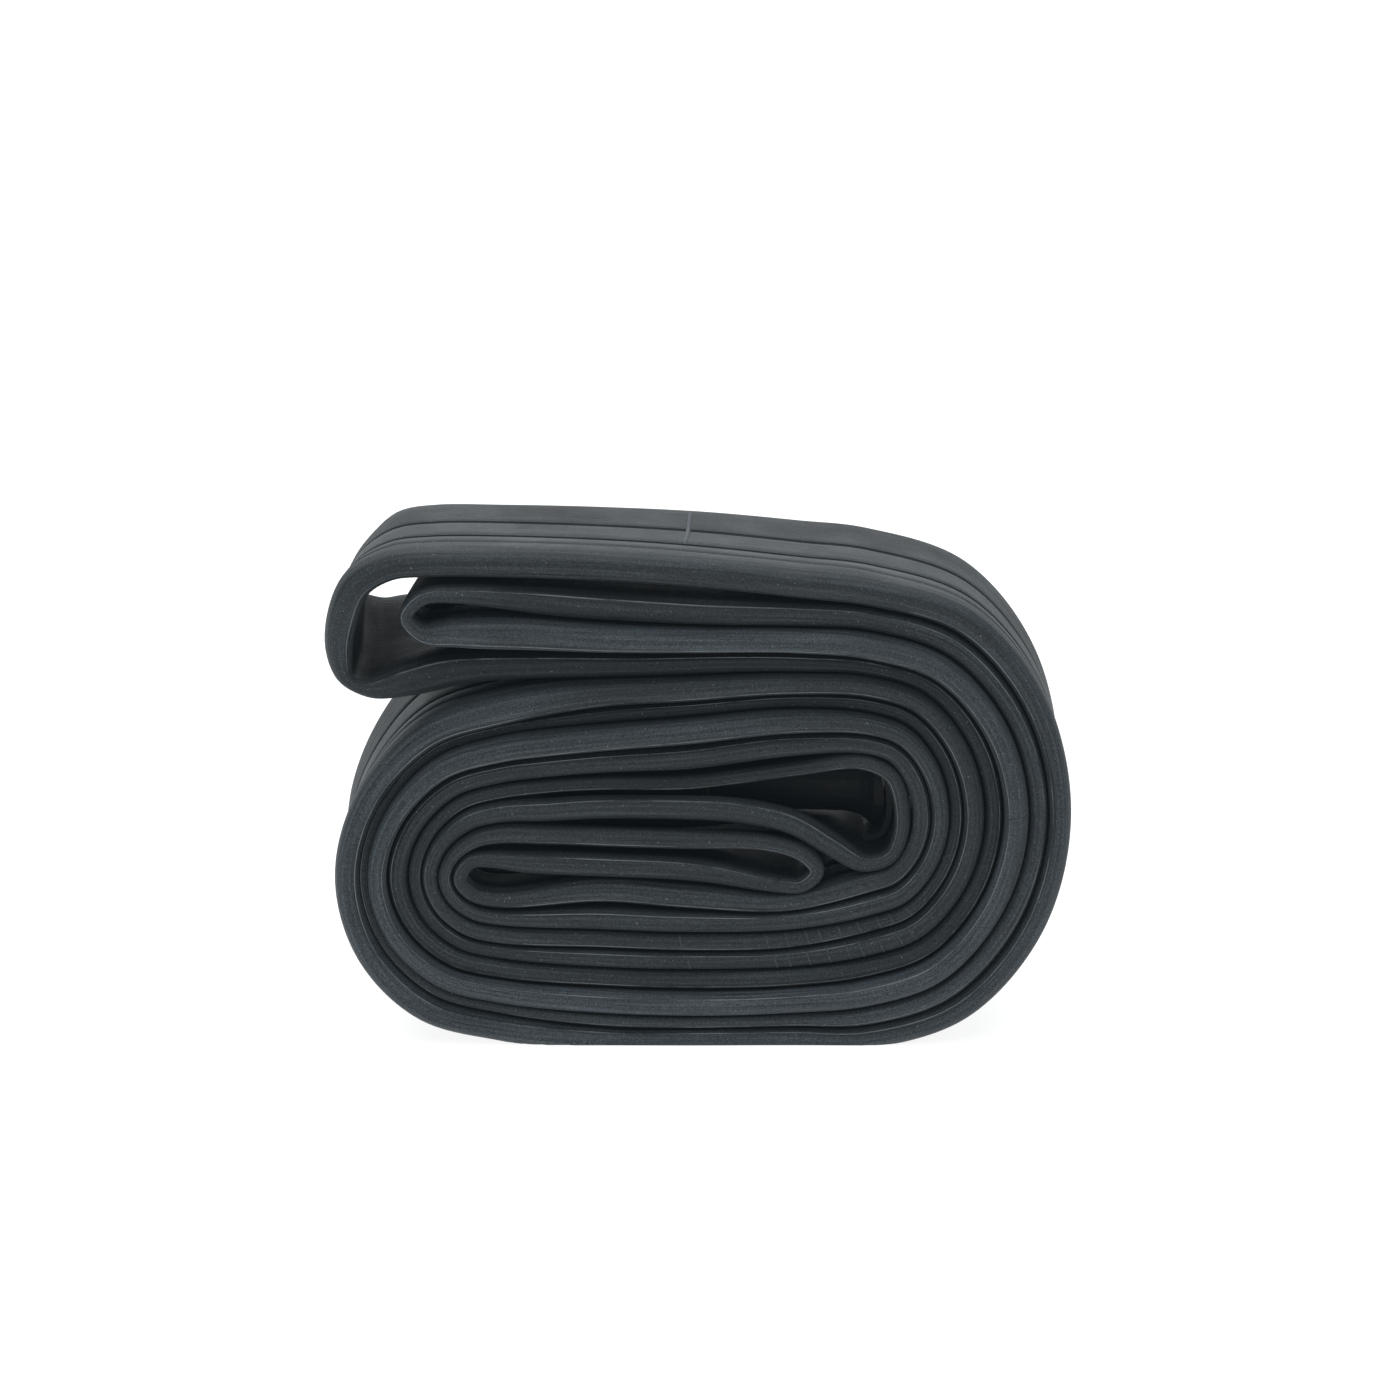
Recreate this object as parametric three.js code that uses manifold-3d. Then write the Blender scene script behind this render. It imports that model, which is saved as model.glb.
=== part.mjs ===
// A bicycle inner tube, pressed flat, doubled and rolled for storage, with a car-type valve inside the roll.
//
// Millimetres, +Z up. The roll's axis lies along Y, its front edge faces -Y, and it rests on its flat
// underside at z = 0, centred on the origin in x and y.
//
// The tube is one closed ring. Its route in the XZ plane runs through eight lanes that wrap around two
// turning centres, and turns back on itself in five folds. The valve stands on the inner face of the fold
// on the right and lies between two runs of the tube, which bow apart around it.
import * as THREE from 'three';
import { mergeVertices } from 'three/addons/utils/BufferGeometryUtils.js';
import Module from 'manifold-3d';

const wasm = await Module();
wasm.setup();

// ---------------------------------------------------------------- driving dimensions
const FLAT_WIDTH = 39;          // the tube's width when it is pressed flat
const FLAT_THICKNESS = 1.6;     // two walls of rubber on top of each other
const HALF_WIDTH = FLAT_WIDTH / 2;
const HALF_THICKNESS = FLAT_THICKNESS / 2;
const TOUCH_GAP = 0.3;          // play left between pieces that touch

const LEFT_CENTRE = { x: -28.4, z: 24.5 };
const RIGHT_CENTRE = { x: 24.1, z: 33.2 };

// Each lane's distance from the turning centre: above it, beside it and below it, and how far the lane
// sits back from the front edge. Lane 0 is the innermost.
const LEFT_LANES = [
  null,
  { above: 6.0, beside: 7.9, below: 5.9, setBack: 0 },
  { above: 9.1, beside: 10.0, below: 8.5, setBack: 0.1 },
  { above: 12.0, beside: 12.1, below: 11.0, setBack: 0.3 },
  { above: 14.7, beside: 14.7, below: 13.6, setBack: 0.3 },
  { above: 17.9, beside: 17.7, below: 16.9, setBack: -0.5 },
  { above: 20.6, beside: 19.8, below: 19.4, setBack: 0.55 },
  { above: 23.9, beside: 21.9, below: 22.6, setBack: 0 },
];
const RIGHT_LANES = [
  { above: 10.1, beside: 7.3, below: 9.6, setBack: 0 },
  { above: 13.0, beside: 9.9, below: 12.7, setBack: -0.2 },
  { above: 15.8, beside: 12.2, below: 15.7, setBack: 0.4 },
  { above: 18.5, beside: 14.6, below: 18.7, setBack: 0 },
  { above: 21.2, beside: 17.5, below: 21.8, setBack: 0.5 },
  { above: 24.3, beside: 20.6, below: 25.3, setBack: -0.6 },
  { above: 28.0, beside: 23.8, below: 28.5, setBack: 0.3 },
  { above: 31.9, beside: 26.9, below: 32.4, setBack: 0 },
];
// Height of each lane's run along the bottom of the roll, at its middle. The runs rise a little at both ends.
const BOTTOM_RUNS = [21.5, 17.9, 14.9, 12.1, 9.4, 5.8, 3.2, 0.75];
const BOTTOM_RISE = 0.4;
const BOTTOM_STOPS = [-14.2, -2.1, 12.8];

// How round each quarter of a turn is: 2 is an ellipse, less is flatter across the corner.
const UPPER_LEFT = 1.85;
const LOWER_LEFT = 1.95;
const UPPER_RIGHT = 1.95;
const LOWER_RIGHT = 1.88;
const QUARTER_STEPS = 3;        // route points in a quarter turn
const SPAN_STEPS = 2;           // sections from one route point to the next

// The valve's axis: where it meets the tube, and how far it climbs towards its tip.
const VALVE_SEAT = { x: 25.6, z: 34.0 };
const VALVE_TILT = THREE.MathUtils.degToRad(1.45);

const PATCH_THICKNESS = 0.8;
const PATCH_WIDTH = 18;
const AIR_HOLE_RADIUS = 1.5;    // through the patch and the tube's inner wall
const STEM_RADIUS = 4.0;        // rubber cover
const STEM_LENGTH = 24.2;       // from the seat to the end of the rubber
const SHANK_RADIUS = 3.0;       // the insert's plain part, inside the rubber
const THREAD_RADIUS = 3.85;     // outer thread of the brass insert
const THREAD_PITCH = 0.794;     // 32 turns to the inch
const THREAD_LENGTH = 9.2;
const BORE_RADIUS = 2.75;       // upper bore, which holds the core's plug
const LOWER_BORE_RADIUS = 1.9;  // below the core's conical seat
const CAP_RADIUS = 4.7;
const CAP_LENGTH = 11.4;
const ROUND = 20;               // sides of a turned piece

const RUBBER = { color: 0x30383c, roughness: 0.62, metalness: 0 };
const VALVE_RUBBER = { color: 0x1d2022, roughness: 0.55, metalness: 0 };
const BRASS = { color: 0xb08d4a, roughness: 0.32, metalness: 1 };
const STEEL = { color: 0xb9bcc0, roughness: 0.3, metalness: 1 };
const SEAL = { color: 0xa33322, roughness: 0.6, metalness: 0 };
const PLASTIC = { color: 0x18191a, roughness: 0.42, metalness: 0 };

// ---------------------------------------------------------------- the route of the tube
// A route point is the middle of the tube: where it is, how far it sits back along Y, and how far its
// mid-width bows up (+) or down (-) to leave room for the valve.
function routePoint(x, z, setBack = 0, bow = 0) {
  return { x, z, setBack, bow };
}

// Points given as [x, z] or [x, z, bow], all set back alike.
function run(setBack, ...stops) {
  return stops.map(([x, z, bow = 0]) => routePoint(x, z, setBack, bow));
}

// Half a turn around a turning centre, from above it to below it. side is -1 on the left, +1 on the right.
function halfTurn(centre, lane, side, upperRoundness, lowerRoundness) {
  const points = [];
  for (let step = 0; step <= 2 * QUARTER_STEPS; step += 1) {
    const angle = Math.PI / 2 * (1 - step / QUARTER_STEPS);
    const rises = angle > 0;
    const exponent = 2 / (rises ? upperRoundness : lowerRoundness);
    const across = Math.cos(angle) ** exponent;
    const up = Math.sign(angle) * Math.abs(Math.sin(angle)) ** exponent;
    const height = rises ? lane.above : lane.below;
    points.push(routePoint(centre.x + side * lane.beside * across, centre.z + height * up, lane.setBack));
  }
  return points;
}

function leftTurn(number) {
  return halfTurn(LEFT_CENTRE, LEFT_LANES[number], -1, UPPER_LEFT, LOWER_LEFT);
}

function rightTurn(number) {
  return halfTurn(RIGHT_CENTRE, RIGHT_LANES[number], 1, UPPER_RIGHT, LOWER_RIGHT);
}

// A run along the bottom of the roll, from left to right.
function bottomRun(number) {
  const height = BOTTOM_RUNS[number];
  const rise = number === BOTTOM_RUNS.length - 1 ? 0 : BOTTOM_RISE;
  const setBack = (LEFT_LANES[number].setBack + RIGHT_LANES[number].setBack) / 2;
  return BOTTOM_STOPS.map((x, stop) => routePoint(x, height + (stop === 1 ? 0 : rise), setBack));
}

function reversed(points) {
  return [...points].reverse();
}

// The four upper runs from lanes 4..7 of the left turn to lanes 0..3 of the right turn.
const overLane4 = run(0.1, [-22, 40.0, 1.6], [-14.2, 40.7, 2.4], [-2.1, 41.4, 1.6], [12.8, 43.4]);
const overLane5 = run(-0.4, [-22, 43.3, 0.9], [-14.2, 44.1, 1.1], [-2.1, 45.3], [12.8, 46.7]);
const overLane6 = run(0.5, [-14.2, 47.3], [-2.1, 48.3], [12.8, 49.5]);
const overLane7 = run(0, [-14.2, 50.8], [-2.1, 51.5], [12.8, 52.4]);

// The four top runs, from right to left, and the two folds that they end in.
const topRunA = run(0, [14.2, 66.3], [0, 67.9], [-14.2, 69.1], [-28.4, 69.7], [-38.3, 69.7]);
const outerTopFold = run(0.1, [-44, 68.8], [-48.3, 65.6], [-50.5, 61.3], [-51, 57], [-49.8, 53.2],
  [-46.6, 51.8], [-41.2, 52.8]);
const topRunD = run(0.55, [-34.1, 54.2], [-22.7, 54.9], [-8.5, 55.1], [5.7, 55.5], [14.2, 55.4]);
const topRunC = run(-0.4, [14.2, 58.5], [0, 58.4], [-14.2, 58.5], [-25.6, 59.5], [-34.1, 59.7]);
const innerTopFold = run(-0.5, [-39.1, 59.6], [-41.3, 61.9], [-39.1, 64.5], [-34.1, 64.7]);
const topRunB = run(-0.4, [-25.6, 63.9], [-14.2, 62.6], [0, 62.2], [14.2, 62.3]);

// The runs and folds inside the roll.
const rightFoldInside = run(0, [11.4, 23.4], [14.5, 23.4], [16.5, 25.5], [14.6, 27.8, -1.1],
  [9.9, 29.4, -2.6]);
const innerRun1 = run(0, [-2.1, 30.0, -3.6], [-14.2, 30.4, -3.5], [-22, 30.7, -2.1]);
const innerRun2 = run(0, [-25.6, 26.7, -0.3], [-14.2, 26.2, -1.3], [0, 25.4, -1.0]);
const innerRun3 = run(0, [24.1, 23.6], [12.8, 20.8], [-2.1, 21.5], [-14.2, 22.4]);
const leftFoldInside = run(0, [-28.4, 21.2], [-32.5, 22.1], [-34.2, 24.3], [-32.7, 26.8], [-29.1, 27.1]);
const belowValve = run(0, [-22, 34.1, -3.4], [-14.2, 34.6, -5.5], [-2.1, 34.5, -6.1], [5.7, 33.9, -4.8],
  [12.8, 32.3, -3.3], [18.5, 29.1, -0.4]);
const valveFold = run(0.1, [23.4, 26.5], [27, 27.5], [28.5, 30.7], [28.5, 35.3], [27.1, 39.2], [23, 41]);
const aboveValve = run(0.1, [14.2, 39.8], [5.7, 38.5, 1.2], [-2.1, 37.6, 3.3], [-14.2, 37.5, 3.4],
  [-22, 37.1, 2.1]);

// The whole ring: two strands lie side by side, and each goes round the roll twice.
const route = [
  ...rightFoldInside, ...innerRun1,
  ...leftTurn(1), ...bottomRun(1), ...reversed(rightTurn(1)), ...reversed(overLane5),
  ...leftTurn(5), ...bottomRun(5), ...reversed(rightTurn(5)), ...topRunC, ...innerTopFold,
  ...topRunB, ...rightTurn(6), ...reversed(bottomRun(6)), ...reversed(leftTurn(6)), ...overLane6,
  ...rightTurn(2), ...reversed(bottomRun(2)), ...reversed(leftTurn(2)), ...belowValve, ...valveFold,
  ...aboveValve, ...leftTurn(3), ...bottomRun(3), ...reversed(rightTurn(3)), ...reversed(overLane7),
  ...leftTurn(7), ...bottomRun(7), ...reversed(rightTurn(7)), ...topRunA, ...outerTopFold,
  ...topRunD, ...rightTurn(4), ...reversed(bottomRun(4)), ...reversed(leftTurn(4)), ...overLane4,
  ...rightTurn(0).slice(0, -1), ...innerRun3, ...leftFoldInside, ...innerRun2,
];

const centreLine = new THREE.CatmullRomCurve3(
  route.map(({ x, z, setBack }) => new THREE.Vector3(x, setBack, z)), true, 'centripetal');
const bowLine = new THREE.CatmullRomCurve3(
  route.map(({ bow }, index) => new THREE.Vector3(bow, index, 0)), true, 'catmullrom', 0.5);

// The tube's middle, its tangent and its bow at a fraction t of the way round.
function section(t) {
  const middle = centreLine.getPoint(t);
  const along = centreLine.getTangent(t);
  const length = Math.hypot(along.x, along.z);
  const outward = { x: along.z / length, z: -along.x / length };
  return { middle, outward, bow: bowLine.getPoint(t).x };
}

// ---------------------------------------------------------------- helpers for solids
// The same solid with only its corners kept, shared between its faces.
function welded(geometry) {
  geometry.deleteAttribute('normal');
  geometry.deleteAttribute('uv');
  return mergeVertices(geometry, 1e-4);
}

function toManifold(geometry) {
  const solid = welded(geometry);
  const vertProperties = new Float32Array(solid.getAttribute('position').array);
  const triVerts = new Uint32Array(solid.getIndex().array);
  return new wasm.Manifold(new wasm.Mesh({ numProp: 3, vertProperties, triVerts }));
}

function fromManifold(solid) {
  const { vertProperties, triVerts } = solid.getMesh();
  const geometry = new THREE.BufferGeometry();
  geometry.setAttribute('position', new THREE.Float32BufferAttribute(vertProperties, 3));
  geometry.setIndex([...triVerts]);
  return geometry;
}

function subtract(geometry, ...cutters) {
  let solid = toManifold(geometry);
  for (const cutter of cutters) {
    solid = solid.subtract(toManifold(cutter));
  }
  return fromManifold(solid);
}

function namedMesh(name, geometry, look) {
  const mesh = new THREE.Mesh(geometry, new THREE.MeshStandardMaterial(look));
  mesh.name = name;
  return mesh;
}

// A piece turned about the Y axis: [radius, height] pairs round its section, closed on itself.
function turned(outline, sides = ROUND) {
  const points = [...outline, outline[0]].map(([radius, height]) => new THREE.Vector2(radius, height));
  return new THREE.LatheGeometry(points, sides);
}

// ---------------------------------------------------------------- the tube
// The flattened section: [across the width, through the thickness] pairs.
function flatSection() {
  const face = [-HALF_WIDTH, -HALF_WIDTH / 2, 0, HALF_WIDTH / 2, HALF_WIDTH];
  return [
    ...face.map((across) => [-across, HALF_THICKNESS]),
    ...face.map((across) => [across, -HALF_THICKNESS]),
  ];
}

// A ring laid along the route: each of its sections is the flattened tube, bowed at mid-width by the valve.
function tubeRing() {
  const outline = flatSection();
  const stations = route.length * SPAN_STEPS;
  const ring = new THREE.TorusGeometry(2, 1, outline.length, stations);
  const position = ring.getAttribute('position');
  for (let along = 0; along <= stations; along += 1) {
    const { middle, outward, bow } = section((along % stations) / stations);
    for (let around = 0; around <= outline.length; around += 1) {
      const [across, through] = outline[around % outline.length];
      const bell = Math.cos(Math.PI * across / FLAT_WIDTH) ** 2;
      const x = middle.x + outward.x * through;
      const z = middle.z + outward.z * through + bow * bell;
      position.setXYZ(around * (stations + 1) + along, x, middle.y + across, Math.max(z, 0));
    }
  }
  return ring;
}

// A strip that follows the inside of the valve's fold, between two distances from the tube's middle.
function foldStrip(near, far, width) {
  const first = route.indexOf(valveFold[0]) * SPAN_STEPS;
  const last = route.indexOf(valveFold[valveFold.length - 1]) * SPAN_STEPS;
  const nearEdge = [];
  const farEdge = [];
  for (let station = first; station <= last; station += 1) {
    const { middle, outward } = section(station / (route.length * SPAN_STEPS));
    nearEdge.push(new THREE.Vector2(middle.x - outward.x * near, middle.z - outward.z * near));
    farEdge.push(new THREE.Vector2(middle.x - outward.x * far, middle.z - outward.z * far));
  }
  const shape = new THREE.Shape([...nearEdge, ...farEdge.reverse()]);
  const strip = new THREE.ExtrudeGeometry(shape, { depth: width, bevelEnabled: false });
  strip.rotateX(Math.PI / 2);
  strip.translate(0, width / 2, 0);
  return strip;
}

// ---------------------------------------------------------------- the valve, upright along +Y from its seat
const THREAD_START = STEM_LENGTH + 0.2;
const TIP = THREAD_START + THREAD_LENGTH;
const CORE_SEAT = TIP - 9.6;    // where the bore narrows and the core's gasket sits
const PLUG_TOP = TIP - 0.7;
const PLUG_BOTTOM = PLUG_TOP - 6.2;
const BARREL_TOP = PLUG_BOTTOM - TOUCH_GAP;
const BARREL_BOTTOM = BARREL_TOP - 8.6;
const PIN_RADIUS = 0.45;
const BARREL_BORE = 1.15;
const SPRING_MIDDLE_RADIUS = 0.8;
const SPRING_WIRE_RADIUS = 0.17;
const SPRING_TURNS = 6;

// The moulded rubber cover and its foot, cut to fit the patch that it stands on.
function stemCover() {
  const bore = SHANK_RADIUS + TOUCH_GAP;
  return turned([
    [bore, -3], [6.2, -3], [6.2, 0.6], [5.2, 1.4], [4.4, 2.6], [STEM_RADIUS, 4.6],
    [STEM_RADIUS, STEM_LENGTH - 0.5], [STEM_RADIUS - 0.4, STEM_LENGTH], [bore, STEM_LENGTH],
  ]);
}

// The brass insert: a plain shank inside the rubber and a threaded end, bored through.
function stemInsert() {
  const ridges = [];
  for (let height = THREAD_START + 0.5; height < TIP - 0.8; height += THREAD_PITCH) {
    ridges.push([THREAD_RADIUS - 0.4, height], [THREAD_RADIUS, height + THREAD_PITCH / 2]);
  }
  return turned([
    [LOWER_BORE_RADIUS, 1.5], [SHANK_RADIUS, 1.5],
    [SHANK_RADIUS, THREAD_START], [THREAD_RADIUS - 0.4, THREAD_START],
    ...ridges, [THREAD_RADIUS - 0.5, TIP], [BORE_RADIUS, TIP], [BORE_RADIUS, CORE_SEAT + 2.2],
    [LOWER_BORE_RADIUS, CORE_SEAT],
  ]);
}

// The core's threaded plug, with two flats at its head for the core key.
function corePlug() {
  const plug = turned([
    [0.95, PLUG_BOTTOM], [2.4, PLUG_BOTTOM], [2.4, PLUG_TOP], [0.95, PLUG_TOP],
  ]);
  const flats = [-1, 1].map((side) => {
    const block = new THREE.BoxGeometry(2, 2.6, 6);
    block.translate(side * 2.3, PLUG_TOP, 0);
    return block;
  });
  return subtract(plug, ...flats);
}

// The sleeve below the plug: its inner shoulder carries the spring, its lower rim is the valve's seat.
function coreBarrel() {
  return turned([
    [0.65, BARREL_BOTTOM], [1.5, BARREL_BOTTOM], [1.5, BARREL_TOP], [BARREL_BORE, BARREL_TOP],
    [BARREL_BORE, BARREL_BOTTOM + 1.2], [0.65, BARREL_BOTTOM + 1.2],
  ], 16);
}

function coreGasket() {
  return turned([
    [1.62, CORE_SEAT + 0.5], [1.85, CORE_SEAT + 0.5], [2.35, CORE_SEAT + 2.1], [1.62, CORE_SEAT + 2.1],
  ], 16);
}

// The pin: a small head to press at the tip, a collar that the spring pushes, and a lower end in the cup.
function corePin() {
  const collar = BARREL_TOP - 0.9;
  return turned([
    [0, BARREL_BOTTOM - 1.0], [PIN_RADIUS, BARREL_BOTTOM - 1.0], [PIN_RADIUS, collar - 0.4],
    [0.95, collar - 0.4], [0.95, collar], [PIN_RADIUS, collar], [PIN_RADIUS, TIP - 0.6],
    [0.75, TIP - 0.5], [0.75, TIP - 0.1], [0, TIP - 0.1],
  ], 12);
}

function coreCup() {
  const rim = BARREL_BOTTOM - 0.9;
  return turned([
    [0, rim - 1.4], [1.2, rim - 1.4], [1.55, rim - 0.9], [1.55, rim], [1.3, rim], [1.3, rim - 0.7],
    [0, rim - 0.7],
  ], 16);
}

function cupSeal() {
  const rim = BARREL_BOTTOM - 0.9;
  return turned([
    [0.6, rim - 0.5], [1.15, rim - 0.5], [1.15, rim + 0.75], [0.6, rim + 0.75],
  ], 16);
}

// A coil spring round the pin, between the barrel's shoulder and the pin's collar.
function coreSpring() {
  const bottom = BARREL_BOTTOM + 1.2 + SPRING_WIRE_RADIUS + 0.1;
  const top = BARREL_TOP - 1.3 - SPRING_WIRE_RADIUS - 0.1;
  class Coil extends THREE.Curve {
    getPoint(t, target = new THREE.Vector3()) {
      const angle = 2 * Math.PI * SPRING_TURNS * t;
      const height = bottom + (top - bottom) * t;
      const reach = SPRING_MIDDLE_RADIUS;
      return target.set(reach * Math.cos(angle), height, reach * Math.sin(angle));
    }
  }
  const wire = new THREE.Shape();
  wire.absarc(0, 0, SPRING_WIRE_RADIUS, 0, 2 * Math.PI);
  return new THREE.ExtrudeGeometry(wire, {
    extrudePath: new Coil(), steps: SPRING_TURNS * 10, curveSegments: 3, bevelEnabled: false });
}

function capShell() {
  const mouth = THREAD_START + 0.3;
  const crown = TIP + 1.2;
  const bore = THREAD_RADIUS + 0.25;
  return turned([
    [bore, mouth], [CAP_RADIUS, mouth], [CAP_RADIUS, mouth + CAP_LENGTH - 1.6],
    [CAP_RADIUS - 0.6, mouth + CAP_LENGTH - 0.5], [CAP_RADIUS - 1.8, mouth + CAP_LENGTH],
    [0, mouth + CAP_LENGTH], [0, crown], [bore, crown],
  ]);
}

function capSeal() {
  return turned([[0, TIP + 0.3], [3.4, TIP + 0.3], [3.4, TIP + 0.95], [0, TIP + 0.95]]);
}

// ---------------------------------------------------------------- the object
const valve = new THREE.Group();
valve.position.set(VALVE_SEAT.x, 0, VALVE_SEAT.z);
valve.rotation.set(0, VALVE_TILT, Math.PI / 2, 'YZX');
valve.updateMatrixWorld(true);

// The air passage from the stem into the tube, as deep as the line where the tube's two walls meet.
const foldMiddle = 28.5;
const airHole = new THREE.CylinderGeometry(AIR_HOLE_RADIUS, AIR_HOLE_RADIUS, 4, 16);
airHole.translate(0, VALVE_SEAT.x - foldMiddle + 2, 0);
airHole.applyMatrix4(valve.matrix);

const tube = new THREE.Group();
tube.add(namedMesh('tube_body', subtract(tubeRing(), airHole), RUBBER));

const patchNear = HALF_THICKNESS + TOUCH_GAP;
const patchFar = patchNear + PATCH_THICKNESS;
const patch = foldStrip(patchNear, patchFar, PATCH_WIDTH);
tube.add(namedMesh('valve_patch', subtract(patch, airHole), VALVE_RUBBER));

// The cover's foot is trimmed where the patch and its gap are; the strip is first brought into valve axes.
const footTrim = foldStrip(-3, patchFar + TOUCH_GAP, PATCH_WIDTH);
footTrim.applyMatrix4(valve.matrix.clone().invert());
valve.add(namedMesh('stem_cover', subtract(stemCover(), footTrim), VALVE_RUBBER));
valve.add(namedMesh('stem_insert', stemInsert(), BRASS));
valve.add(namedMesh('core_plug', corePlug(), BRASS));
valve.add(namedMesh('core_barrel', coreBarrel(), BRASS));
valve.add(namedMesh('core_gasket', coreGasket(), SEAL));
valve.add(namedMesh('core_pin', corePin(), STEEL));
valve.add(namedMesh('core_cup', coreCup(), BRASS));
valve.add(namedMesh('cup_seal', cupSeal(), VALVE_RUBBER));
valve.add(namedMesh('core_spring', coreSpring(), STEEL));
valve.add(namedMesh('cap_shell', capShell(), PLASTIC));
valve.add(namedMesh('cap_seal', capSeal(), VALVE_RUBBER));
tube.add(valve);

export default tube;
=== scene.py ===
"""A rolled bicycle inner tube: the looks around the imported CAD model.

The scene is in metres, +Z up. The shapes are worked out in millimetres and scaled on the way in.
"""
import math

import bpy
import numpy as np
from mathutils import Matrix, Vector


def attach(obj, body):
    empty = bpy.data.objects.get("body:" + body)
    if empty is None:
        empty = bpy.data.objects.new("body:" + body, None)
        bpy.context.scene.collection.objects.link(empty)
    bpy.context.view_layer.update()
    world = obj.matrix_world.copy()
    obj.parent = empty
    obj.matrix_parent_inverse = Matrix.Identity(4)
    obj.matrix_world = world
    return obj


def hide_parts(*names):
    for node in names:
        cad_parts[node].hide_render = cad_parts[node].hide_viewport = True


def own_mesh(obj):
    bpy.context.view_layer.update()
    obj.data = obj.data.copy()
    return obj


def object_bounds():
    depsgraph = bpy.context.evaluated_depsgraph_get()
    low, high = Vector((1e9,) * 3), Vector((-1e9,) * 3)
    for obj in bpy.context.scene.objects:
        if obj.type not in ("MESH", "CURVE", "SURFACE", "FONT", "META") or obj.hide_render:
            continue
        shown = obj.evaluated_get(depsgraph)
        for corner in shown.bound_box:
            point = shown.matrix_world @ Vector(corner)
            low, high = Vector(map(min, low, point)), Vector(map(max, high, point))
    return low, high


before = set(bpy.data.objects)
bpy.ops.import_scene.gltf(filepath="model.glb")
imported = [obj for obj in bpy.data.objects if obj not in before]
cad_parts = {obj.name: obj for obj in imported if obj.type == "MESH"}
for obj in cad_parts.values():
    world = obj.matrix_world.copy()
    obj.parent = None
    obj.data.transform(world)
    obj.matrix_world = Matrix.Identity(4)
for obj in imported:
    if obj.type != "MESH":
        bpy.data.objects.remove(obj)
CAD_BOX = [list(map(float, corner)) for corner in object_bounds()]

MM = 0.001

# ---------------------------------------------------------------- sizes, in millimetres
FLAT_WIDTH = 39.0
HALF_WIDTH = FLAT_WIDTH / 2
HALF_THICKNESS = 0.8            # two walls pressed together
FOLD_LIMITS = (0.8, 3.4)        # half thickness of a fold, from its middle to one side
DEPTH_FACTOR, DEPTH_POWER = 0.36, 1.6     # how far in a fold's round part reaches, by its thickness
DEEPEST_FOLD = 6.0              # and how far it can reach at most
PACKED = 2.6                    # how far a fold swells towards a neighbour that leaves it room
OUTSIDE = 1.75                  # the same on the free outside of the outermost lane
FOLD_SQUARENESS = 2.25          # 2 is an ellipse, more is boxier
LANE_GAP = 0.07                 # half of the dark line between two folds
REACH = 9.0                     # how far in from a fold its swelling runs out
SWELLING_END = HALF_WIDTH - DEEPEST_FOLD - REACH      # where it has run out, across from the middle
ROOMY = 12.0                    # a face with this much room in front of it is free
SAG = 0.12                      # how much lower the outward face is at mid-width than at its folds
FREE_SAG = 0.55                 # the same where nothing lies against the outward face
SIDE_LEAN = 0.35                # how far all lanes lean to the right at mid-width
FRONT_SET_BACK = 2.2            # a lane's set back counts so many times at the front edge, once at the back
RIPPLE = 0.06                   # the edges waver by this much, in a short and in a long wave
GROOVES = ((-5.5, 0.55), (5.5, 0.4))      # mould lines along the outward face: place across, depth
CREST_STEP = 0.22               # a soft step just behind the front fold, on the outward face
RIDGE_ANGLE, RIDGE_HEIGHT = 56.0, 0.1     # flash line round the folds, on the inward side, painted pale as a painted highlight
FLASH_TOP = 65.6                # above this height the flash line gets no painted highlight
RIB_HIGHLIGHT, SPLICE_HIGHLIGHT = 1.7, 2.4          # painted highlight: the raised ribs and seam are painted lighter
FAR_BAND_SHADE = 0.62            # painted shade: the outward face is painted darker behind its back mould line
INNER_FACE_SHADE = 0.34          # painted shade: the inward face, which lies in the gaps between lanes, is painted darker
VALVE_FOLD = (28.5, 33.0)       # x and z of the fold that the valve sits in
RIBS_START = {1: 139.0, -1: 131.0}        # along the ring from the valve's fold, each way round
RIB_COUNT, RIB_PITCH = 9, 2.55
LONE_RIB_LEAD = 12.5            # a lone rib comes this far before each group
LONE_RIB = (44.9, 33.0)         # x and z of one more
RIB_ANGLES = (62, -58)          # a rib goes round the front fold from one to the other
RIB_WIDTH, RIB_HEIGHT, RIB_SKEW = 0.34, 0.17, 0.25
SPLICE = (-2.2, 68.0)           # x and z of the seam
SPLICE_END = 17.0               # how far back from mid-width the seam runs
SPLICE_SLANT = 0.05             # how far along the tube it leans, for each millimetre across
SPLICE_WIDTH, SPLICE_HEIGHT = 0.62, 0.3
STATIONS = 2150                 # sections along the ring
STATION_SPACING = (0.3, 1.1)    # relative: in the sharpest turns, and on straight runs
SPAN_STEPS = 24                 # curve samples from one route point to the next

VALVE_FOOT = (25.6, 0.0, 34.0)  # where the valve's axis meets the tube
VALVE_TILT = math.radians(1.45)
SPRING_TURNS, COIL_RADIUS, WIRE_RADIUS = 6, 0.8, 0.17
WIRE_SIDES, TURN_STEPS = 10, 24

LEFT_CENTRE = (-28.4, 24.5)
RIGHT_CENTRE = (24.1, 33.2)
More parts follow.
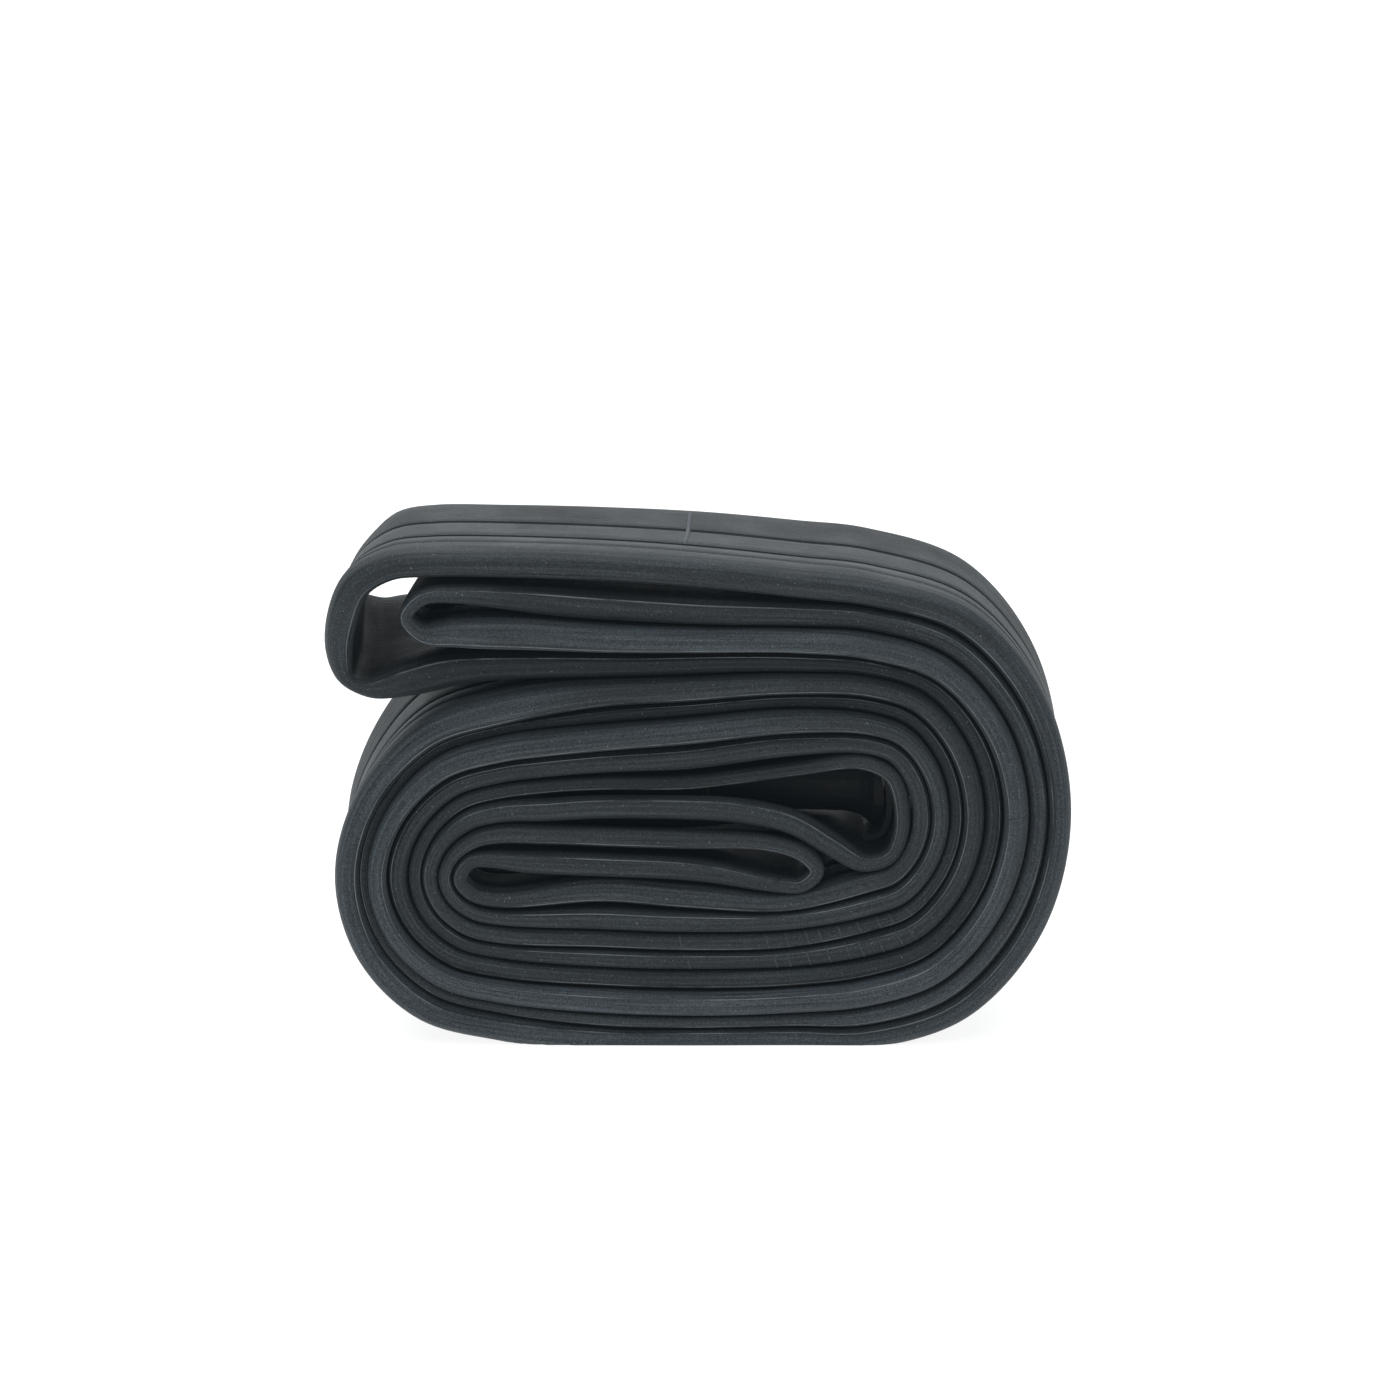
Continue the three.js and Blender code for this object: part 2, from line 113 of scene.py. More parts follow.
# Each lane round a turning centre: above, beside, below, set back from the front edge, fullness, and tone,
# which is painted light and shade: lanes set back are painted darker as shade, lanes that stand forward
# lighter. A pair goes from its value above the centre to its value below.
LEFT_LANES = {
    1: (6.3, 7.9, 5.9, 0.0, 1.0, 1.05),
    2: (9.4, 10.0, 8.5, 0.1, 1.2, 1.05),
    3: (12.3, 12.1, 11.0, (0.5, 0.3), 0.95, (0.7, 0.95)),
    4: (15.0, 14.7, 13.6, 0.3, 1.4, (0.9, 1.15)),
    5: (18.2, 17.7, 16.8, -0.4, 1.5, (1.5, 1.95)),
    6: (21.0, 19.35, 19.2, (1.0, 0.3), (0.45, 0.6), (0.5, 1.15)),
    7: (23.9, 21.9, 22.6, 0.0, (2.2, 1.9), (1.6, 1.75)),
}
RIGHT_LANES = {
    0: (10.4, 7.4, 9.6, 0.0, 1.35, 1.0),
    1: (13.3, 10.0, 12.7, -0.2, 1.3, 1.1),
    2: (16.1, 12.3, 15.7, (0.6, 0.3), 0.95, (0.5, 0.9)),
    3: (18.8, 14.8, 18.7, 0.0, 1.4, 1.0),
    4: (21.5, 17.7, 22.0, (0.6, 0.3), 1.2, (0.65, 1.0)),
    5: (24.6, 20.8, 25.9, -0.6, 1.7, (1.5, 1.9)),
    6: (28.3, 24.0, 28.9, (0.3, 0.0), 1.3, (1.0, 1.75)),
    7: (32.3, 26.9, 32.4, 0.0, 1.5, (1.1, 1.65)),
}
# The height of each lane's run along the bottom of the roll at its middle, and its rise at both ends.
BOTTOM_RUNS = (21.5, 17.9, 14.9, 12.1, 9.4, 5.8, 3.2, 0.75)
BOTTOM_RISE = 0.4
BOTTOM_STOPS = (-14.2, -2.1, 12.8)
# How square each quarter of a turn is: 2 is an ellipse, more is boxier. The outermost lane is squarer.
UPPER_LEFT, LOWER_LEFT, UPPER_RIGHT, LOWER_RIGHT = 1.85, 1.95, 1.95, 1.88
OUTERMOST = 7
OUTERMOST_UPPER_RIGHT, OUTERMOST_LOWER = 0.07, 0.1
QUARTER_STEPS = 3
TURN_POINTS = 2 * QUARTER_STEPS + 1


# ---------------------------------------------------------------- the route of the tube
# A route point is (x, set back, z, bow at mid-width, fullness, swelling limit outward, and inward,
# tone, which is painted light and shade, shift of the back edge to the right, and up).
def run(set_back, fullness, *stops, outer=PACKED, inner=PACKED, tone=1.0, back_shift=0.0, back_rise=0.0):
    """Points given as (x, z) or (x, z, bow). The other values are one number, or one for each stop."""
    def each(value):
        return value if isinstance(value, tuple) else (value,) * len(stops)

    columns = zip(stops, *map(each, (outer, inner, tone, back_shift, back_rise)))
    return [(stop[0], set_back, stop[1], stop[2] if len(stop) > 2 else 0.0, fullness, *values)
            for stop, *values in columns]


def between(value, share):
    """A number, or the place between a pair of them."""
    return value[0] + (value[1] - value[0]) * share if isinstance(value, tuple) else value


def half_turn(centre, lane, side, upper, lower, outers=(PACKED,) * TURN_POINTS, lifts=(0.0,) * TURN_POINTS):
    """Half a turn round a turning centre, from above it to below it. side is -1 on the left."""
    above, beside, below, set_back, fullness, tone = lane
    points = []
    for step in range(TURN_POINTS):
        share = step / (2 * QUARTER_STEPS)
        angle = math.pi * (0.5 - share)
        rises = step < QUARTER_STEPS
        exponent = 2 / (upper if rises else lower)
        across = max(math.cos(angle), 0.0) ** exponent
        up = math.copysign(abs(math.sin(angle)) ** exponent, angle)
        height = above if rises else below
        points += run(between(set_back, share), between(fullness, share),
                      (centre[0] + side * beside * across, centre[1] + height * up),
                      outer=outers[step], tone=between(tone, share), back_rise=lifts[step])
    return points


def left_turn(number):
    lane = LEFT_LANES[number]
    if number < OUTERMOST:
        return half_turn(LEFT_CENTRE, lane, -1, UPPER_LEFT, LOWER_LEFT)
    outers = (PACKED, 2.3) + (OUTSIDE,) * 5
    lifts = (0.9, 2.4, 0.8, 0.0, 0.0, 0.0, 0.0)
    return half_turn(LEFT_CENTRE, lane, -1, UPPER_LEFT, LOWER_LEFT + OUTERMOST_LOWER, outers, lifts)


def right_turn(number):
    lane = RIGHT_LANES[number]
    if number < OUTERMOST:
        return half_turn(RIGHT_CENTRE, lane, 1, UPPER_RIGHT, LOWER_RIGHT)
    outers = (2.4, 2.1, 1.8) + (OUTSIDE,) * 4
    lifts = (0.9, 0.8, 0.7, 0.3, 0.0, 0.0, 0.0)
    upper, lower = UPPER_RIGHT + OUTERMOST_UPPER_RIGHT, LOWER_RIGHT + OUTERMOST_LOWER
    return half_turn(RIGHT_CENTRE, lane, 1, upper, lower, outers, lifts)


def bottom_run(number):
    """A run along the bottom of the roll, from left to right."""
    rise = 0.0 if number == OUTERMOST else BOTTOM_RISE
    left, right = LEFT_LANES[number], RIGHT_LANES[number]
    set_back, fullness, tone = ((between(left[k], 1) + between(right[k], 1)) / 2 for k in (3, 4, 5))
    heights = [BOTTOM_RUNS[number] + (0.0 if stop == 1 else rise) for stop in range(3)]
    return run(set_back, fullness, *zip(BOTTOM_STOPS, heights), tone=tone)


def back(points):
    return points[::-1]


def whole_route():
    """The ring: two strands side by side, each going round the roll twice."""
    # The tone of each run is painted light and shade: runs set back are painted darker, runs that stand
    # forward lighter.
    over4 = run(0.35, 1.4, (-22, 40.3, 1.6), (-14.2, 41.0, 2.4), (-2.1, 41.7, 1.6), (12.8, 43.7), tone=0.95)
    over5 = run(-0.4, 1.5, (-22, 43.6, 0.9), (-14.2, 44.4, 1.1), (-2.1, 45.6), (12.8, 47.0), tone=1.35)
    over6 = run(0.8, 0.85, (-14.2, 47.6), (-2.1, 48.6), (12.8, 49.8), tone=0.5)
    over7 = run(0, 1.4, (-14.2, 50.8), (-2.1, 51.5), (12.8, 52.4))
    top_a = run(0, 1.9, (14.2, 66.7), (0, 68.2), (-14.2, 69.2), (-28.4, 69.7), (-38.3, 69.7),
                outer=2.4, inner=2.2, tone=1.03, back_rise=(0.8, 0.6, 0.2, 0.0, 0.0))
    outer_top_fold = run(0.1, 1.9, (-44, 69.0), (-48.4, 66.3), (-50.5, 61.5), (-51, 57), (-49.8, 53.2),
                         (-46.6, 51.8), (-41.2, 52.8), outer=(2.4, 2.4, 2.5, 2.1, 0.9, 1.1, 2.9),
                         inner=(2.0, 2.0, 2.3, 2.0, 0.9, 1.5, 3.0), tone=(0.95, 1.1, 1.3, 1.3, 1.0, 0.9, 0.7),
                         back_shift=(0.6, 2.2, 1.6, 0.4, 0.0, 0.0, 0.0),
                         back_rise=(-0.4, -1.2, -0.2, 1.6, 4.6, 4.9, 4.0))
    top_d = run(0.55, 1.3, (-34.1, 54.2), (-22.7, 54.9), (-8.5, 55.1), (5.7, 55.5), (14.2, 55.4),
                outer=(3.2, 2.6, 2.3, 2.0, 2.0), inner=(3.2, 2.6, 2.0, 1.8, 1.8), tone=0.55,
                back_rise=(0.4, 0.0, 0.0, 0.0, 0.0))
    top_c = run(-0.4, 1.5, (14.2, 58.5), (0, 58.6), (-14.2, 58.9), (-25.6, 59.7), (-34.1, 60.0),
                outer=(2.6, 2.6, 2.5, 2.4, 2.2), tone=1.7, back_shift=(0.0, 0.0, 0.0, 0.5, 1.5))
    inner_top_fold = run(-0.2, 1.1, (-39.1, 60.0), (-41.3, 62.3), (-39.1, 64.8), (-34.1, 65.2),
                         outer=(1.3, 0.9, 0.9, 0.9), inner=(1.5, 1.1, 1.3, 2.0), tone=1.1,
                         back_shift=(3.2, 4.2, 3.4, 1.5))
    top_b = run(0.1, 1.3, (-25.6, 64.5), (-14.2, 63.5), (0, 62.6), (14.2, 62.4),
                outer=(1.8, 2.3, 2.3, 2.2), inner=(2.3, 2.7, 2.5, 2.3), tone=0.85)
    right_fold = run(0, 1.2, (11.4, 23.4), (14.5, 23.4), (16.5, 25.5), (14.6, 27.8, -1.1), (9.9, 29.4, -2.6),
                     outer=1.2, inner=1.1)
    inner1 = run(0, 1.2, (-2.1, 30.0, -3.6), (-14.2, 30.4, -3.5), (-22, 30.7, -2.1), outer=1.4, inner=1.45)
    inner2 = run(0, 1.3, (-25.6, 26.7, -0.3), (-14.2, 26.2, -1.3), (0, 25.4, -1.0), outer=1.8, inner=1.7,
                 tone=1.05)
    inner3 = run(0, 1.4, (24.1, 23.6), (12.8, 20.8), (-2.1, 21.5), (-14.2, 22.4), outer=1.9, inner=1.8,
                 tone=1.2)
    left_fold = run(0, 1.2, (-28.4, 21.2), (-32.5, 22.1), (-34.2, 24.3), (-32.7, 26.8), (-29.1, 27.1),
                    outer=1.15, inner=1.1)
    below_valve = run(0, 1.3, (-22, 34.3, -3.9), (-14.2, 34.8, -5.9), (-2.1, 34.7, -6.1), (5.7, 34.1, -4.8),
                      (12.8, 32.4, -3.3), (18.5, 29.1, -0.4), outer=1.85, inner=1.85)
    valve_fold = run(0.1, 1.25, (23.4, 26.5), (27, 27.5), (28.5, 30.7), (28.5, 35.3), (27.1, 39.2),
                     (23, 41.2), outer=1.3, inner=1.1, back_shift=(0.0, -2.0, -3.5, -3.5, -2.5, 0.0),
                     back_rise=(2.5, 3.0, 2.0, 0.0, -1.0, -2.0))
    above_valve = run(0.6, 1.1, (14.2, 40.1), (5.7, 38.9, 1.2), (-2.1, 38.0, 3.3), (-14.2, 37.9, 3.4),
                      (-22, 37.5, 2.1), outer=1.0, inner=1.0, tone=0.6)
    return (
        right_fold + inner1
        + left_turn(1) + bottom_run(1) + back(right_turn(1)) + back(over5)
        + left_turn(5) + bottom_run(5) + back(right_turn(5)) + top_c + inner_top_fold
        + top_b + right_turn(6) + back(bottom_run(6)) + back(left_turn(6)) + over6
        + right_turn(2) + back(bottom_run(2)) + back(left_turn(2)) + below_valve + valve_fold
        + above_valve + left_turn(3) + bottom_run(3) + back(right_turn(3)) + back(over7)
        + left_turn(7) + bottom_run(7) + back(right_turn(7)) + top_a + outer_top_fold
        + top_d + right_turn(4) + back(bottom_run(4)) + back(left_turn(4)) + over4
        + right_turn(0)[:-1] + inner3 + left_fold + inner2)


def smooth_ring(points, steps):
    """A closed centripetal Catmull-Rom curve through the points, steps samples to each span.

    The spans are measured by x, set back and z, the first three values of a point.
    """
    points = np.array(points, float)
    before, start, end, after = (np.roll(points, shift, axis=0) for shift in (1, 0, -1, -2))

    def knot(a, b):
        return np.sqrt(np.linalg.norm((b - a)[:, :3], axis=1))[:, None]

    k0, k1, k2 = knot(before, start), knot(start, end), knot(end, after)
    leave = ((start - before) / k0 - (end - before) / (k0 + k1) + (end - start) / k1) * k1
    arrive = ((end - start) / k1 - (after - start) / (k1 + k2) + (after - end) / k2) * k1
    # the other values are eased by the plain rule, which can't overshoot much
    leave[:, 3:] = 0.5 * (end - before)[:, 3:]
    arrive[:, 3:] = 0.5 * (after - start)[:, 3:]
    t = (np.arange(steps) / steps)[None, :, None]
    a, b, c, d = (value[:, None, :] for value in (start, end, leave, arrive))
    curve = ((2 * t**3 - 3 * t**2 + 1) * a + (t**3 - 2 * t**2 + t) * c
             + (3 * t**2 - 2 * t**3) * b + (t**3 - t**2) * d)
    return curve.reshape(-1, points.shape[1])


def around(values, width):
    """A moving average round the ring."""
    return sum(np.roll(values, shift, axis=0) for shift in range(-width, width + 1)) / (2 * width + 1)


def resampled(curve, count):
    """Stations along the ring, closer together where it turns sharply."""
    step = np.roll(curve, -1, axis=0) - curve
    length = np.linalg.norm(step[:, [0, 2]], axis=1)
    heading = np.unwrap(np.arctan2(step[:, 2], step[:, 0]))
    bend = np.abs(np.roll(heading, -1) - heading)
    bend = np.minimum(bend, 2 * math.pi - bend)
    radius = around(length, 6) / np.maximum(around(bend, 6), 1e-4)
    spacing = around(np.clip(0.1 * radius, *STATION_SPACING), 10)
    weight = length / spacing
    reach = np.concatenate([[0.0], np.cumsum(weight)])
    wanted = np.arange(count) / count * reach[-1]
    closed = np.vstack([curve, curve[:1]])
    return np.column_stack([np.interp(wanted, reach, closed[:, k]) for k in range(curve.shape[1])])


class Ring:
    """The tube's stations: where each lies, its directions, and how far it swells on each side."""

    def __init__(self):
        stations = resampled(smooth_ring(whole_route(), SPAN_STEPS), STATIONS)
        (self.x, self.set_back, self.z, self.bow, self.fullness, outer, inner,
         self.tone, self.back_shift, self.back_rise) = stations.T
        middle = stations[:, [0, 2]]
        along = np.roll(middle, -1, axis=0) - np.roll(middle, 1, axis=0)
        self.along = along / np.linalg.norm(along, axis=1)[:, None]
        self.outward = np.column_stack([self.along[:, 1], -self.along[:, 0]])
        step = np.linalg.norm(np.roll(middle, -1, axis=0) - middle, axis=1)
        self.distance = np.concatenate([[0.0], np.cumsum(step)[:-1]])
        self.length = float(step.sum())
        self.outer_fold, free = self.swelling(middle, 1, outer)
        self.inner_fold, _ = self.swelling(middle, -1, inner)
        sag = SAG + (FREE_SAG - SAG) * free
        thickness = self.outer_fold + self.inner_fold
        self.deep = np.minimum(DEPTH_FACTOR * thickness ** DEPTH_POWER, DEEPEST_FOLD)
        # at mid-width the valve bows some runs, and those stay pressed flat
        bowed = middle + np.column_stack([np.zeros(STATIONS), self.bow])
        pressed = around(np.clip(np.abs(self.bow) / 0.3, 0, 1), 8)
        self.outer_middle = self.at_mid_width(bowed, 1, outer, self.outer_fold - sag, pressed)
        # the inward side keeps most of a slight swelling there, and little of a large one
        over = np.maximum(self.inner_fold - HALF_THICKNESS, 0)
        half_full = HALF_THICKNESS + 0.8 * np.minimum(over, 0.8) + 0.2 * np.maximum(over - 0.8, 0)
        self.inner_middle = self.at_mid_width(bowed, -1, inner, half_full, pressed)

    def swelling(self, middle, side, limit):
        """Half thickness on one side: a share of the room up to the next run, up to the limit.

        Also where that side is free (1) and where another run faces it (0).
        """
        offset = middle[None, :, :] - middle[:, None, :]
        ahead = np.einsum("ijk,ik->ij", offset, self.along)
        out = side * np.einsum("ijk,ik->ij", offset, self.outward)
        apart = np.abs(self.distance[:, None] - self.distance[None, :])
        apart = np.minimum(apart, self.length - apart)
        # a run faces a place if it lies out from it and abreast, and isn't the place's own stretch
        facing = (out > 0.5) & (np.abs(ahead) < 0.8) & (apart > 4.5)
        room = np.where(facing, out, 99.0)
        nearest = room.argmin(axis=1)
        room = room.min(axis=1)
        share = self.fullness / (self.fullness + self.fullness[nearest])
        half = np.minimum(share * room - LANE_GAP, limit)
        return around(around(np.clip(half, *FOLD_LIMITS), 4), 4), around((room > ROOMY).astype(float), 25)

    def at_mid_width(self, bowed, side, limit, full, pressed):
        """Half thickness on one side at mid-width: full where there is room, flat where it's pressed."""
        roomy = np.minimum(self.swelling(bowed, side, limit)[0], full)
        return np.maximum(roomy + (HALF_THICKNESS - roomy) * pressed, HALF_THICKNESS)


def mesh_object(name, vertices, faces, uvs=None):
    mesh = bpy.data.meshes.new(name)
    mesh.from_pydata((np.asarray(vertices) * MM).tolist(), [], [list(map(int, face)) for face in faces])
    if uvs is not None:
        layer = mesh.uv_layers.new(name="lengthwise")
        corner = np.empty(len(mesh.loops), dtype=np.int32)
        mesh.loops.foreach_get("vertex_index", corner)
        layer.data.foreach_set("uv", np.asarray(uvs)[corner].astype(np.float32).ravel())
    mesh.polygons.foreach_set("use_smooth", [True] * len(mesh.polygons))
    mesh.update()
    piece = bpy.data.objects.new(name, mesh)
    bpy.context.scene.collection.objects.link(piece)
    return piece


# ---------------------------------------------------------------- the tube
def section_rows():
    """Rows round the flattened section, as (side, kind, place, amount, raised, crease, ridge).

    A "fold" row lies at an angle round the front or back fold (place -1 or 1). A "slope" row lies
    part of the way from the fold to where its swelling runs out. A "face" row lies at a fixed place
    across the middle. Raised is in millimetres; groove_shade marks the rows that painted shade follows
    in the mould grooves, and ridge the rows that a painted pale highlight follows along the flash line.
    """
    angles = (0, 14, 28, 40, 51, 61, 70, 79)
    # The third number of a ridge row is how much painted pale highlight it gets.
    ridge = [(RIDGE_ANGLE + turn, raised, light) for turn, raised, light in
             ((-3.0, 0.0, 0.0), (-1.2, RIDGE_HEIGHT, 1.0), (1.2, RIDGE_HEIGHT, 1.0), (3.0, 0.0, 0.0))]
    slopes = (0.1, 0.2, 0.31, 0.5, 0.75)
    crest = {0.2: -0.6 * CREST_STEP, 0.28: -CREST_STEP}
    # The third number of a face row is how much painted shade it gets in the mould groove.
    grooved = [(place, 0.0, 0.0) for place in (-2.8, 0.0, 2.8)]
    for groove, depth in GROOVES:
        grooved += [(groove - 1.7, 0.0, 0.0), (groove - 0.16, -0.9 * depth, 0.1),
                    (groove - 0.08, -depth, 1.0), (groove + 0.03, -0.15 * depth, 1.0),
                    (groove + 0.1, 0.0, 0.0)]
    faces = {1: sorted(grooved), -1: [(place, 0.0, 0.0) for place in (-6.0, -2.5, 2.5, 6.0)]}
    rows = []
    for side in (1, -1):
        fold = [(angle, 0.0, 0.0) for angle in angles]
        fold = fold if side == 1 else sorted(fold + ridge)
        near_slopes = sorted(slopes + (0.28,)) if side == 1 else slopes
        half = [(side, "fold", -1, math.radians(angle), raised, 0.0, light)
                for angle, raised, light in reversed(fold)]
        half += [(side, "slope", -1, part, crest.get(part, 0.0) if side == 1 else 0.0, 0.0, 0.0)
                 for part in near_slopes]
        half += [(side, "face", across, 0.0, raised, dark, 0.0) for across, raised, dark in faces[side]]
        half += [(side, "slope", 1, part, 0.0, 0.0, 0.0) for part in reversed(slopes)]
        half += [(side, "fold", 1, math.radians(angle), raised, 0.0, light) for angle, raised, light in fold]
        rows += half if side == 1 else half[::-1]
        rows.append((side, "fold", side, math.pi / 2, 0.0, 0.0, 0.0))
    return rows


def surface(ring, side, kind, place, amount, raised):
    """One row of the section at every station: how far across it lies, and how far through."""
    fold = ring.outer_fold if side == 1 else ring.inner_fold
    middle = ring.outer_middle if side == 1 else ring.inner_middle
    start = HALF_WIDTH - ring.deep
    if kind == "fold":
        power = 2 / FOLD_SQUARENESS
        across = place * (start + (ring.deep + raised) * math.sin(amount) ** power)
        return across, side * (fold + raised) * max(math.cos(amount), 0.0) ** power
    if kind == "slope":
        across = place * (start - (start - SWELLING_END) * amount)
        eased = amount * amount * (3 - 2 * amount)
        return across, side * (fold + (middle - fold) * eased + raised)
    return np.full(STATIONS, float(place)), side * (middle + raised)


def ring_point(ring, across, through):
    """Where a point of the section lies in the roll, with the bow round the valve at mid-width."""
    bell = np.cos(np.pi * across / FLAT_WIDTH) ** 2
    short_wave = np.sin(ring.distance * 0.21 + across * 0.3)
    ripple = RIPPLE * short_wave + RIPPLE * np.sin(ring.distance * 0.083 + 1.0)
    behind = np.clip((across / HALF_WIDTH + 1) / 2, 0, 1)
    x = ring.x + ring.outward[:, 0] * through + SIDE_LEAN * bell + ring.back_shift * behind ** 3
    z = ring.z + ring.outward[:, 1] * through + ring.bow * bell + ring.back_rise * behind ** 3
    y = ring.set_back * (FRONT_SET_BACK + (1 - FRONT_SET_BACK) * behind) + across + np.sign(across) * ripple
    return np.column_stack([x, y, np.maximum(z, 0.0)])


def mark(piece, name, values):
    """A number at each vertex for the material to read."""
    layer = piece.data.attributes.new(name, "FLOAT", "POINT")
    layer.data.foreach_set("value", np.asarray(values, dtype=np.float32).reshape(-1))


def make_tube(ring):
    rows = section_rows()
    columns, uvs, tones = [], [], []
    girth, last = 0.0, None
    far_groove = GROOVES[1][0]
    for side, kind, place, amount, raised, *_ in rows:
        across, through = surface(ring, side, kind, place, amount, raised)
        columns.append(ring_point(ring, across, through))
        spot = np.array([float(np.mean(across)), float(np.mean(through))])
        girth += 0.0 if last is None else float(np.linalg.norm(spot - last))
        last = spot
        uvs.append(np.column_stack([ring.distance, np.full(STATIONS, girth)]))
        # A row's tone is the run's painted light and shade, with more painted shade behind the back mould
        # line and on the inward face.
        if side == 1:
            share = FAR_BAND_SHADE if spot[0] > far_groove + 0.05 else 1.0
        else:
            share = 1.0 if kind == "fold" else INNER_FACE_SHADE
        tones.append(ring.tone * share)
    count = len(rows)
    vertices = np.stack(columns, axis=1).reshape(-1, 3)
    station = np.arange(STATIONS)[:, None]
    row = np.arange(count)[None, :]
    here, there = station * count, (station + 1) % STATIONS * count
    following = (row + 1) % count
    faces = np.stack([here + row, there + row, there + following, here + following], axis=-1).reshape(-1, 4)
    tube = mesh_object("inner_tube", vertices, faces, np.stack(uvs, axis=1).reshape(-1, 2))
    mark(tube, "tone", np.stack(tones, axis=1))
    # Where painted shade goes in the mould grooves, and where a painted pale highlight goes along the flash
    # line, left out above FLASH_TOP.
    mark(tube, "groove_shade", np.tile([row[5] for row in rows], STATIONS))
    flash = around(np.clip(FLASH_TOP - ring.z, 0, 1), 6)
    mark(tube, "ridge", np.outer(flash, [row[6] for row in rows]).ravel())
    return tube


def swept(name, columns):
    """A closed bar whose long edges are the columns of points, given in order round its section."""
    vertices = np.stack(columns, axis=1).reshape(-1, 3)
    count = len(columns)
    last = len(vertices) - count
    faces = []
    for first in range(0, last, count):
        for j in range(count):
            k = (j + 1) % count
            faces.append((first + j, first + k, first + count + k, first + count + j))
    faces.append(tuple(range(count))[::-1])
    faces.append(tuple(range(last, last + count)))
    return mesh_object(name, vertices, faces)


def bead(name, path, normals, width, height, tone, taper=0.12):
    """A thin raised ridge along a path on a surface, its foot sunk just under it, its ends run out."""
    path, normals = np.asarray(path, float), np.asarray(normals, float)
    along = np.gradient(path, axis=0)
    along /= np.linalg.norm(along, axis=1)[:, None]
    across = np.cross(along, normals)
    across /= np.linalg.norm(across, axis=1)[:, None]
    profile = [(-0.6, -0.5), (-0.5, 0.0), (-0.28, 0.75), (0.0, 1.0), (0.28, 0.75), (0.5, 0.0), (0.6, -0.5)]
    t = np.linspace(0, 1, len(path))
    swell = np.clip(np.minimum(t, 1 - t) / taper, 0, 1) ** 0.5
    columns = [path + across * (width * a * np.maximum(swell, 0.3))[:, None]
               + normals * (height * (b * swell - 0.15))[:, None] for a, b in profile]
    piece = swept(name, columns)
    # The tone marked on a bead is a painted highlight on the raised line.
    mark(piece, "tone", np.full(len(path) * len(columns), tone))
    return piece


def station_near(ring, x, z):
    """The section whose middle is nearest to a place in the roll."""
    return int(np.argmin(np.hypot(ring.x - x, ring.z - z)))


def edge_path(ring, station, from_angle, to_angle, skew, steps=14):
    """A path round the front fold at one station, from the outward face to the inward one."""
    power = 2 / FOLD_SQUARENESS
    deep = float(ring.deep[station])
    out, along = ring.outward[station], ring.along[station]
    path, normals = [], []
    for angle in np.linspace(math.radians(from_angle), math.radians(to_angle), steps):
        half = float(ring.outer_fold[station] if angle >= 0 else ring.inner_fold[station])
        sine, cosine = abs(math.sin(angle)), math.cos(angle)
        through = math.copysign(half * sine ** power, angle)
        across = -(HALF_WIDTH - deep + deep * cosine ** power)
        shift = along * skew * math.sin(angle)
        path.append((ring.x[station] + out[0] * through + shift[0],
                     ring.set_back[station] * FRONT_SET_BACK + across,
                     ring.z[station] + out[1] * through + shift[1]))
        lift = math.copysign(sine ** (2 - power) / half, angle)
        normal = np.array([out[0] * lift, -cosine ** (2 - power) / deep, out[1] * lift])
        normals.append(normal / np.linalg.norm(normal))
    return path, normals


def join(name, pieces):
    """Several meshes joined into one piece."""
    with bpy.context.temp_override(active_object=pieces[0], selected_editable_objects=pieces):
        bpy.ops.object.join()
    pieces[0].name = name
    pieces[0].data.name = name
    return pieces[0]


def make_splice(ring):
    """The joint where the tube's ends were welded: a fine ridge across the outward face, on top."""
    station = station_near(ring, *SPLICE)
    out, along = ring.outward[station], ring.along[station]
    start = HALF_WIDTH - ring.deep[station]
    fold, middle = ring.outer_fold[station], ring.outer_middle[station]
    path, normals = [], []
    for across in np.linspace(GROOVES[0][0] + 0.1, SPLICE_END, 60):
        part = np.clip((start - abs(across)) / (start - SWELLING_END), 0, 1)
        through = fold + (middle - fold) * part * part * (3 - 2 * part)
        if across > start:
            beyond = (across - start) / ring.deep[station]
            through = fold * (1 - beyond ** FOLD_SQUARENESS) ** (1 / FOLD_SQUARENESS)
        point = ring_point(ring, across, np.full(STATIONS, through))[station]
        path.append(point - SPLICE_SLANT * across * np.array([along[0], 0.0, along[1]]))
        normals.append((out[0], 0.0, out[1]))
    return bead("splice_seam", path, normals, SPLICE_WIDTH, SPLICE_HEIGHT, SPLICE_HIGHLIGHT)


def make_ribs(ring):
    """Short raised mould ribs round the front fold: a group each way from the valve, and lone ones."""
    apex = station_near(ring, *VALVE_FOLD)
    reach = ring.distance - ring.distance[apex]
    stations = [station_near(ring, *LONE_RIB)]
    for side, first in RIBS_START.items():
        places = [first - LONE_RIB_LEAD] + [first + RIB_PITCH * number for number in range(RIB_COUNT)]
        stations += [int(np.argmin(np.abs(reach - side * place))) for place in places]
    pieces = []
    for station in stations:
        path, normals = edge_path(ring, station, *RIB_ANGLES, RIB_SKEW)
        pieces.append(bead("rib", path, normals, RIB_WIDTH, RIB_HEIGHT, RIB_HIGHLIGHT))
    return join("mould_ribs", pieces)


